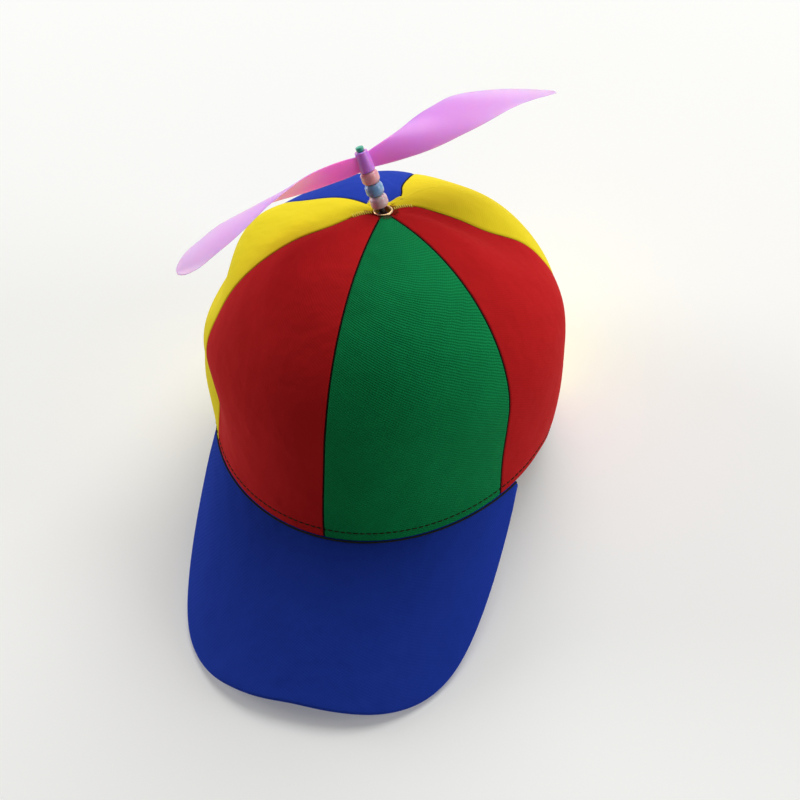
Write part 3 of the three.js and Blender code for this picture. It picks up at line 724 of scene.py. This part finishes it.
def add_tacks():
    """Short arched stitches across the seams between red and yellow, longer on the red side."""
    random = np.random.default_rng(3)
    along = 5.8 + tack_pitch * np.arange(tack_count)[:, None]
    part = np.linspace(0, 1, 7)[None, :]
    for name, seam, yellow in (("tacks_right", 120, 1), ("tacks_left", 300, -1)):
        across = -2 + (2 + 0.9 * random.random((tack_count, 1))) * part
        radii = along + 0.5 * part + 0 * across
        fall = highest_fall(math.radians(seam) + 0 * radii, radii)
        turns = seam_turn(seam, fall) + yellow * across / radii
        lifts = 0.15 + 0.5 * part * (1 - part) + 0 * across
        add_threads(name, turns, radii, lifts, tack_radius, yellow_thread)


def add_frayed_yarns():
    """Loose yarn ends: short random arcs that start in the turned edges and stand off the cloth."""
    random = np.random.default_rng(7)
    part = np.linspace(0, 1, 8)[None, :]
    for name, colour, first, last, count, near, far in frayed_yarns:
        start, aside, depth, length, bend = random.random((5, count, 1))
        radii = near + (far - near) * depth + (0.6 + 1.8 * length) * part
        drift = (aside - 0.5) * 2.6 * part + (bend - 0.5) * 1.6 * part * (1 - part)
        turns = np.radians(first + (last - first) * start) + drift / radii
        lifts = 0.05 + 0.9 * bend * part * (1.2 - part)
        add_threads(name, turns, radii, lifts, yarn_radius, spun_thread(name, colour))


yellow_thread = spun_thread("yellow_polyester_thread", "f6de58")
add_folded_ends()
add_tacks()
add_frayed_yarns()

# Eyelet: one brass tube pushed through the hole at the peak and rolled over on both sides, with
# a thin rounded flange on the cloth. The stick stands loosely in it.
eyelet_bottom = 110.6166
eyelet_top = 114.4525
eyelet_hole = 3.5
eyelet_wall = 0.4
eyelet_radius = 4.9
eyelet_flange = 0.6


def turned_faces(rings, sides):
    """Quads of a closed profile carried round an axis."""
    number = np.arange(rings * sides).reshape(rings, sides)
    below, beside = np.roll(number, -1, axis=0), np.roll(number, -1, axis=1)
    corner = np.roll(below, -1, axis=1)
    return np.stack([number, beside, corner, below], axis=-1).reshape(-1, 4)


def turned(profile, sides):
    """A profile of radius and height pairs carried round the Z axis."""
    angle = np.linspace(0, 2 * np.pi, sides, endpoint=False)[None, :]
    radius, height = np.asarray(profile, float).T
    return np.stack([radius[:, None] * np.cos(angle), radius[:, None] * np.sin(angle),
                     height[:, None] + 0 * angle], axis=-1)


def arc(radius_at, height_at, across, up, first, last, count):
    """Points on a quarter or half ellipse, between two angles in degrees."""
    angle = np.radians(np.linspace(first, last, count))
    return np.stack([radius_at + across * np.cos(angle), height_at + up * np.sin(angle)], axis=-1)


def polished_metal(name, light, dark, roughness):
    """Rolled brass: warm, bright and smooth, with a little tarnish."""
    material, output = new_material(name)
    place = add_node(material, "ShaderNodeTexCoord").outputs["Object"]
    tarnish = add_node(material, "ShaderNodeTexNoise", {"Vector": place, "Scale": 700.0, "Detail": 3.0})
    colour = add_node(material, "ShaderNodeMix", {
        0: tarnish.outputs["Fac"], 6: linear(dark), 7: linear(light)}, data_type="RGBA")
    rough = add_node(material, "ShaderNodeMapRange", {
        "Value": tarnish.outputs["Fac"], "To Min": roughness - 0.08, "To Max": roughness + 0.12})
    shader = add_node(material, "ShaderNodeBsdfPrincipled", {
        "Base Color": colour.outputs[2], "Metallic": 1.0, "Roughness": rough.outputs[0]})
    material.node_tree.links.new(shader.outputs[0], output.inputs[0])
    return material


def add_eyelet():
    """Outer flange, barrel and inner flange as one turned profile with round edges."""
    outer = eyelet_hole + eyelet_wall
    half = (eyelet_radius - eyelet_hole) / 2
    middle = (eyelet_radius + eyelet_hole) / 2
    profile = np.concatenate([
        arc(middle, eyelet_top - eyelet_flange, half, eyelet_flange, 0, 180, 17),
        arc(middle, eyelet_bottom + eyelet_flange, half, eyelet_flange, 180, 360, 17),
        [(outer, eyelet_bottom + eyelet_flange), (outer, eyelet_top - eyelet_flange)],
    ])
    points = turned(profile, 96) + [0, peak_back, 0]
    brass = polished_metal("rolled_brass", "f2d2a4", "b8905c", 0.3)
    piece = add_piece("rolled_eyelet", resting(points), turned_faces(*points.shape[:2]), brass)
    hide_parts("grommet")


add_eyelet()

# Stick: a thin plastic stick with a ball foot that can't pass the eyelet and a swaged head that
# keeps the hub on. It leans back and towards -X. Near the eyelet it is painted dark, as painted
# shade of the eyelet's deep hole.
stick_tilt = math.radians(20.7)
stick_heading = math.radians(-106.5)
stick_radius = 1.5
stick_foot_radius = 4
stick_head_radius = 1.95
stick_head_height = 2
head_foot_roll = 0.3
head_top_roll = 0.4
foot_centre = -6.6471
first_bead = 3.5802
bead_pitch = 6.4
hub_start = 22.7802
hub_length = 10.2
head_start = hub_start + hub_length + seat_gap
stick_axis = np.array([math.sin(stick_tilt) * math.sin(stick_heading),
                       -math.sin(stick_tilt) * math.cos(stick_heading), math.cos(stick_tilt)])


def on_stick(points):
    """Points about the stick's own axis, standing at the eyelet's middle and tilted the short way."""
    side = np.cross([0, 0, 1], stick_axis)
    side /= np.linalg.norm(side)
    lean = np.array(Matrix.Rotation(stick_tilt, 3, side.tolist()))
    middle = [0, peak_back, (eyelet_top + eyelet_bottom) / 2]
    return resting(points @ lean.T + middle)


def moulded_plastic(name, light, dark, roughness, **more):
    """Glossy injection-moulded plastic: even colour with faint cloudy flow."""
    material, output = new_material(name)
    place = add_node(material, "ShaderNodeTexCoord").outputs["Object"]
    flow = add_node(material, "ShaderNodeTexNoise", {"Vector": place, "Scale": 350.0, "Detail": 2.0})
    colour = add_node(material, "ShaderNodeMix", {
        0: flow.outputs["Fac"], 6: linear(dark), 7: linear(light)}, data_type="RGBA")
    bump = add_node(material, "ShaderNodeBump", {
        "Height": flow.outputs["Fac"], "Strength": 0.2, "Distance": 0.0001})
    shader = add_node(material, "ShaderNodeBsdfPrincipled", {
        "Base Color": colour.outputs[2], "Roughness": roughness, "Normal": bump.outputs[0],
        **{key.replace("_", " ").title(): value for key, value in more.items()}})
    material.node_tree.links.new(shader.outputs[0], output.inputs[0])
    return material


def paint_hole_shade(material, middle, reach):
    """Darkens a plastic within a reach of the eyelet's middle: painted shade of the eyelet's dark hole."""
    shader = next(node for node in material.node_tree.nodes if node.type == "BSDF_PRINCIPLED")
    unshaded_colour = shader.inputs["Base Color"].links[0].from_socket
    place = add_node(material, "ShaderNodeTexCoord").outputs["Object"]
    offset = add_node(material, "ShaderNodeVectorMath", {
        0: place, 1: tuple(middle)}, operation="DISTANCE")
    hole_shade = add_node(material, "ShaderNodeMapRange", {
        "Value": offset.outputs["Value"], "From Min": reach + 0.0006, "From Max": reach})
    colour = add_node(material, "ShaderNodeMix", {
        # painted shade: near-black brown where the stick stands in the eyelet's hole
        0: hole_shade.outputs[0], 6: unshaded_colour, 7: linear("2a1c16")}, data_type="RGBA")
    material.node_tree.links.new(colour.outputs[2], shader.inputs["Base Color"])


def add_stick():
    """Ball foot, rod and head as one turned profile, closed at both ends by small discs."""
    neck = math.degrees(math.acos(stick_radius / stick_foot_radius))
    profile = np.concatenate([
        arc(0, foot_centre, stick_foot_radius, stick_foot_radius, -89, neck, 24),
        [(stick_radius, 0), (stick_radius, head_start)],
        arc(stick_head_radius - head_foot_roll, head_start + head_foot_roll,
            head_foot_roll, head_foot_roll, -90, 0, 5),
        arc(stick_head_radius - head_top_roll, head_start + stick_head_height - head_top_roll,
            head_top_roll, head_top_roll, 0, 85, 6),
    ])
    points = turned(profile, 48)
    rings, sides = points.shape[:2]
    number = np.arange(rings * sides).reshape(rings, sides)
    faces = grid_faces(rings, sides, around=True)[:, ::-1].tolist()
    faces += [number[0, ::-1].tolist(), number[-1].tolist()]
    teal = moulded_plastic("teal_moulded_plastic", "4fc4a6", "2f9880", 0.35)
    # painted shade on the stick inside the eyelet
    paint_hole_shade(teal, on_stick(np.array([[0, 0, 0]]))[0], first_bead / 1000)
    piece = add_piece("plastic_stick", on_stick(points), faces, teal)
    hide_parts("shaft")


add_stick()

# Beads: three pearly barrel beads, pink, sky blue and coral, threaded on the stick as spacers
# below the propeller.
bead_radius = 4.5
bead_end_radius = 3.2
bead_length = 6.1
bead_roll = 0.35
bore_roll = 0.4
turning_clearance = 0.2


def add_bead(name, node, place, light, dark):
    """A barrel: end radius plus a fourth-power bulge, with rolled ends and a straight bore."""
    bore = stick_radius + turning_clearance
    height = np.linspace(bead_roll, bead_length - bead_roll, 25)
    bulge = 1 - (2 * height / bead_length - 1) ** 4
    barrel = np.stack([bead_end_radius + (bead_radius - bead_end_radius) * bulge, height], axis=-1)
    bottom = barrel[0, 0]
    profile = np.concatenate([
        arc(bore + bore_roll, bore_roll, bore_roll, bore_roll, 180, 270, 6),
        arc(bottom - bead_roll, bead_roll, bead_roll, bead_roll, -90, -10, 6),
        barrel,
        arc(bottom - bead_roll, bead_length - bead_roll, bead_roll, bead_roll, 10, 90, 6),
        arc(bore + bore_roll, bead_length - bore_roll, bore_roll, bore_roll, 90, 180, 6),
    ])
    points = turned(profile, 64) + [0, 0, place]
    pearl = moulded_plastic(name + "_pearl_plastic", light, dark, 0.3, coat_weight=0.6,
                            coat_roughness=0.15, subsurface_weight=0.6, subsurface_scale=0.003)
    piece = add_piece(name, on_stick(points), turned_faces(*points.shape[:2]), pearl)
    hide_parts(node)


for index, (name, node, light, dark, slot) in enumerate([
        ("pink_bead", "bead_lower", "f2d6da", "d8a8b0", "bead_pink"),
        ("blue_bead", "bead_middle", "9cc4e8", "5a90c8", "bead_blue"),
        ("coral_bead", "bead_upper", "ffc0c4", "f494a0", "bead_coral")]):
    add_bead(name, node, first_bead + bead_pitch * index, light, dark)

# Propeller: a hub tube and two thin twisted blades moulded in one from translucent orchid
# plastic. It turns freely on the stick between the top bead and the stick's head.
hub_top_radius = 3.2
hub_foot_radius = 3.8
hub_top_roll = 0.3
hub_foot_roll = 0.4
propeller_radius = 104
blade_width = 36
blade_wall = 1.4
blade_camber = 1.6
blade_middle = 0.45
propeller_turn = math.radians(41.5)
blade_tip_length = 12.5
low_blade_sag = 3.3
low_blade_place = 0.7
low_blade_spread = 0.28
# place along the blade, width, twist in degrees, bow and sweep: the first and the bow are shares
# of propeller_radius, the width and the sweep of blade_width
blade_sections = np.array([
    [0.025, 0.22, 86, 0, 0],
    [0.2, 0.41, 52, 0.008, -0.08],
    [0.4, 0.77, 24, 0.021, -0.07],
    [0.55, 0.98, 14, 0.025, -0.05],
    [0.7, 1, 5, 0.009, -0.02],
    [0.85, 0.82, 0, -0.032, 0.03],
    [0.95, 0.66, -5, -0.07, 0.04],
    [1, 0.58, -8, -0.09, 0.04],
])


def eased(along):
    """The table's columns at a place along the blade: cubic pieces whose slopes at the rows are the
    weighted mean of the slopes beside them, as a natural smooth curve through the rows."""
    places, values = blade_sections[:, 0], blade_sections[:, 1:]
    step = np.diff(places)[:, None]
    slope = np.diff(values, axis=0) / step
    inner = (slope[:-1] * step[1:] + slope[1:] * step[:-1]) / (step[1:] + step[:-1])
    tangent = np.concatenate([slope[:1], inner, slope[-1:]])
    low = np.clip(np.searchsorted(places, along, side="right") - 1, 0, len(places) - 2)
    span = step[low]
    t = (along[:, None] - places[low][:, None]) / span
    near = (2 * t ** 3 - 3 * t ** 2 + 1) * values[low] + (t ** 3 - 2 * t ** 2 + t) * span * tangent[low]
    far = (3 * t ** 2 - 2 * t ** 3) * values[low + 1] + (t ** 3 - t ** 2) * span * tangent[low + 1]
    return near + far


def blade_points(rows, sides, lowest):
    """Lens-shaped sections along +X, each cambered, turned by the twist, swept and bowed, and
    pressed down in a bell shape by lowest at its middle."""
    share = np.sin(np.linspace(0, np.pi / 2, rows)) ** 1.1
    along = blade_sections[0, 0] + (1 - blade_sections[0, 0]) * share
    width, twist, bow, sweep = eased(along).T[:, :, None]
    to_tip = np.maximum(0, 1 - (1 - along) * propeller_radius / blade_tip_length)[:, None]
    sag = lowest * np.exp(-((along - low_blade_place) / low_blade_spread) ** 2)[:, None]
    half = np.maximum(blade_width * width * np.sqrt(1 - to_tip ** 2), blade_wall) / 2
    angle = np.linspace(0, 2 * np.pi, sides, endpoint=False)[None, :]
    chord = half * np.cos(angle)
    hollow = blade_camber * half / blade_width * 2 * np.sin(angle) ** 2
    lift = blade_wall / 2 * np.sin(angle) + hollow
    twist = np.radians(twist)
    return np.stack([
        along[:, None] * propeller_radius + 0 * chord,
        sweep * blade_width + chord * np.cos(twist) - lift * np.sin(twist),
        bow * propeller_radius - sag + chord * np.sin(twist) + lift * np.cos(twist),
    ], axis=-1)


def orchid_plastic():
    """Translucent orchid plastic, glossy: deep where it is thick at the hub, pale and see-through
    towards the blades' tips, by the distance from the hub's middle in Object coordinates."""
    material, output = new_material("translucent_orchid_plastic")
    place = add_node(material, "ShaderNodeTexCoord").outputs["Object"]
    hub = on_stick(np.array([[0, 0, hub_start + hub_length / 2]]))[0]
    offset = add_node(material, "ShaderNodeVectorMath", {
        0: place, 1: tuple(hub)}, operation="DISTANCE")
    far = add_node(material, "ShaderNodeMapRange", {
        "Value": offset.outputs["Value"], "From Min": 0.006, "From Max": propeller_radius / 1000})
    colour = add_node(material, "ShaderNodeMix", {
        0: far.outputs[0], 6: linear("f08cff"), 7: linear("e8a8ee")}, data_type="RGBA")
    solid = add_node(material, "ShaderNodeMapRange", {
        "Value": far.outputs[0], "To Min": 0.88, "To Max": 0.5})
    flow = add_node(material, "ShaderNodeTexNoise", {"Vector": place, "Scale": 90.0, "Detail": 2.0})
    bump = add_node(material, "ShaderNodeBump", {
        "Height": flow.outputs["Fac"], "Strength": 0.15, "Distance": 0.0004})
    shader = add_node(material, "ShaderNodeBsdfPrincipled", {
        "Base Color": colour.outputs[2], "Roughness": 0.28, "IOR": 1.49,
        "Alpha": solid.outputs[0], "Subsurface Weight": 0.8,
        "Subsurface Scale": 0.008, "Normal": bump.outputs[0]})
    material.node_tree.links.new(shader.outputs[0], output.inputs[0])
    return material


def add_propeller():
    """Hub and blades joined by a solid union, so that no wall is left inside the plastic."""
    rows, sides = 90, 40
    high, low = (blade_points(rows, sides, lowest) + [0, 0, hub_length * blade_middle]
                 for lowest in (0, low_blade_sag))
    blade_faces = capped(rows, sides)
    bore = stick_radius + turning_clearance
    profile = np.concatenate([
        arc(hub_foot_radius - hub_foot_roll, hub_foot_roll, hub_foot_roll, hub_foot_roll, -90, 0, 6),
        arc(hub_top_radius - hub_top_roll, hub_length - hub_top_roll, hub_top_roll, hub_top_roll, 0, 90, 6),
        [(bore, hub_length), (bore, 0)],
    ])
    hub = turned(profile, 96)
    hub_faces = turned_faces(*hub.shape[:2]).tolist()
    cos, sin = math.cos(propeller_turn), math.sin(propeller_turn)
    spin = np.array([[cos, -sin, 0], [sin, cos, 0], [0, 0, 1]])
    orchid = orchid_plastic()
    parts = []
    for name, points, faces in [
            ("moulded_propeller", hub, hub_faces),
            ("high_blade", high, blade_faces),
            ("low_blade", low * [-1, -1, 1], blade_faces)]:
        parts.append(add_piece(name, on_stick(points @ spin.T + [0, 0, hub_start]), faces, orchid,
                               "propeller"))
    propeller = parts[0]
    for blade_part in parts[1:]:
        union = propeller.modifiers.new("union", "BOOLEAN")
        union.operation = "UNION"
        union.object = blade_part
    bpy.context.view_layer.update()
    whole = propeller.evaluated_get(bpy.context.evaluated_depsgraph_get())
    mesh = bpy.data.meshes.new_from_object(whole)
    propeller.modifiers.clear()
    propeller.data = mesh
    for blade_part in parts[1:]:
        bpy.data.objects.remove(blade_part)
    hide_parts("propeller")


add_propeller()

# Floor, light and camera: a plain pale table with a faint glow of its own, a large soft light
# behind and above, a small one at each side, and an even pale sky. The camera looks down at the
# front of the cap from its +X side, as the photograph does.
floor_half = 4
look_height = 0.06
floor_mesh = bpy.data.meshes.new("floor")
floor_mesh.from_pydata([(-floor_half, -floor_half, 0), (floor_half, -floor_half, 0),
                        (floor_half, floor_half, 0), (-floor_half, floor_half, 0)], [], [(0, 1, 2, 3)])
floor_paper, floor_output = new_material("pale_paper")
floor_shader = add_node(floor_paper, "ShaderNodeBsdfPrincipled", {
    "Base Color": linear("e6e6e4"), "Roughness": 0.9, "Specular IOR Level": 0.1,
    "Emission Color": linear("fafaf7"), "Emission Strength": 0.19})
floor_paper.node_tree.links.new(floor_shader.outputs[0], floor_output.inputs[0])
floor_mesh.materials.append(floor_paper)
floor = bpy.data.objects.new("floor", floor_mesh)
bpy.context.collection.objects.link(floor)

world = bpy.data.worlds.new("studio")
world.use_nodes = True
world.node_tree.nodes["Background"].inputs["Color"].default_value = (1, 1, 1, 1)
world.node_tree.nodes["Background"].inputs["Strength"].default_value = 0.09
bpy.context.scene.world = world
bpy.context.scene.view_settings.view_transform = "Standard"

for name, place, size, power in [
        ("back_light", (0.4, 3.0, 2.8), 4.2, 184),
        ("left_light", (-2.4, 0.35, 0.8), 1.2, 28),
        ("right_light", (2.4, 0.35, 0.8), 1.2, 20)]:
    lamp = bpy.data.lights.new(name, "AREA")
    lamp.shape = "DISK"
    lamp.size = size
    lamp.energy = power
    light = bpy.data.objects.new(name, lamp)
    aim = Vector(place) - Vector((0, 0, look_height))
    light.matrix_world = Matrix.Translation(place) @ aim.to_track_quat("Z", "Y").to_matrix().to_4x4()
    bpy.context.collection.objects.link(light)

camera_azimuth = math.radians(25.38)
camera_elevation = math.radians(54.64)
camera_roll = math.radians(-11.51)
camera_distance = 0.8297
camera_target = (0.01756, 0.00354, look_height)
camera_lens = 74.82
camera_data = bpy.data.cameras.new("camera")
camera_data.sensor_width = 36
camera_data.lens = camera_lens
camera = bpy.data.objects.new("camera", camera_data)
camera.matrix_world = (Matrix.Translation(camera_target) @ Matrix.Rotation(camera_azimuth, 4, "Z")
                       @ Matrix.Rotation(math.pi / 2 - camera_elevation, 4, "X")
                       @ Matrix.Rotation(camera_roll, 4, "Z")
                       @ Matrix.Translation((0, 0, camera_distance)))
bpy.context.collection.objects.link(camera)
bpy.context.scene.camera = camera
